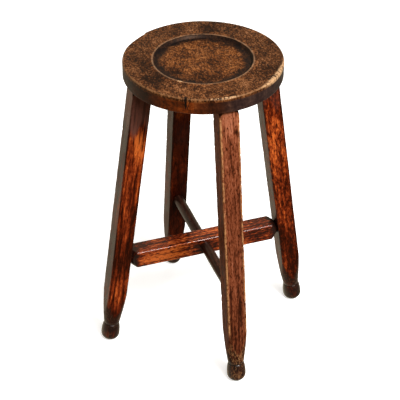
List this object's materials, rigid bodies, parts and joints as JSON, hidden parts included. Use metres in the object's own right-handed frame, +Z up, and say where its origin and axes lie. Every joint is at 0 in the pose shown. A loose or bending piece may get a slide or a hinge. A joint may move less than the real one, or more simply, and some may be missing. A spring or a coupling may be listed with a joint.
{
  "type": "round-seat workshop stool",
  "caption": "Tall wooden stool: turned disc seat with a shallow dish, splayed square legs with ball feet, and a square rail crossed by a round rung.",
  "frame": {"origin": "on the floor, under the middle of the seat", "axes": "+Z up along the seat's axis, +X along the square rail towards the right leg, +Y along the round rung towards the back leg"},
  "size_m": [0.4362, 0.4362, 0.61],
  "materials": {
    "seat_oak": "waxed, worn satin",
    "leg_oak": "glossy stained polish, worn at the edges",
    "rail_oak": "glossy stained polish",
    "rung_oak": "dark satin polish"
  },
  "bodies": {
    "root": {"seat": "seat_oak", "leg_left": "leg_oak", "leg_right": "leg_oak", "leg_front": "leg_oak", "leg_back": "leg_oak", "square_rail": "rail_oak", "round_rung": "rung_oak"}
  },
  "joints": []
}
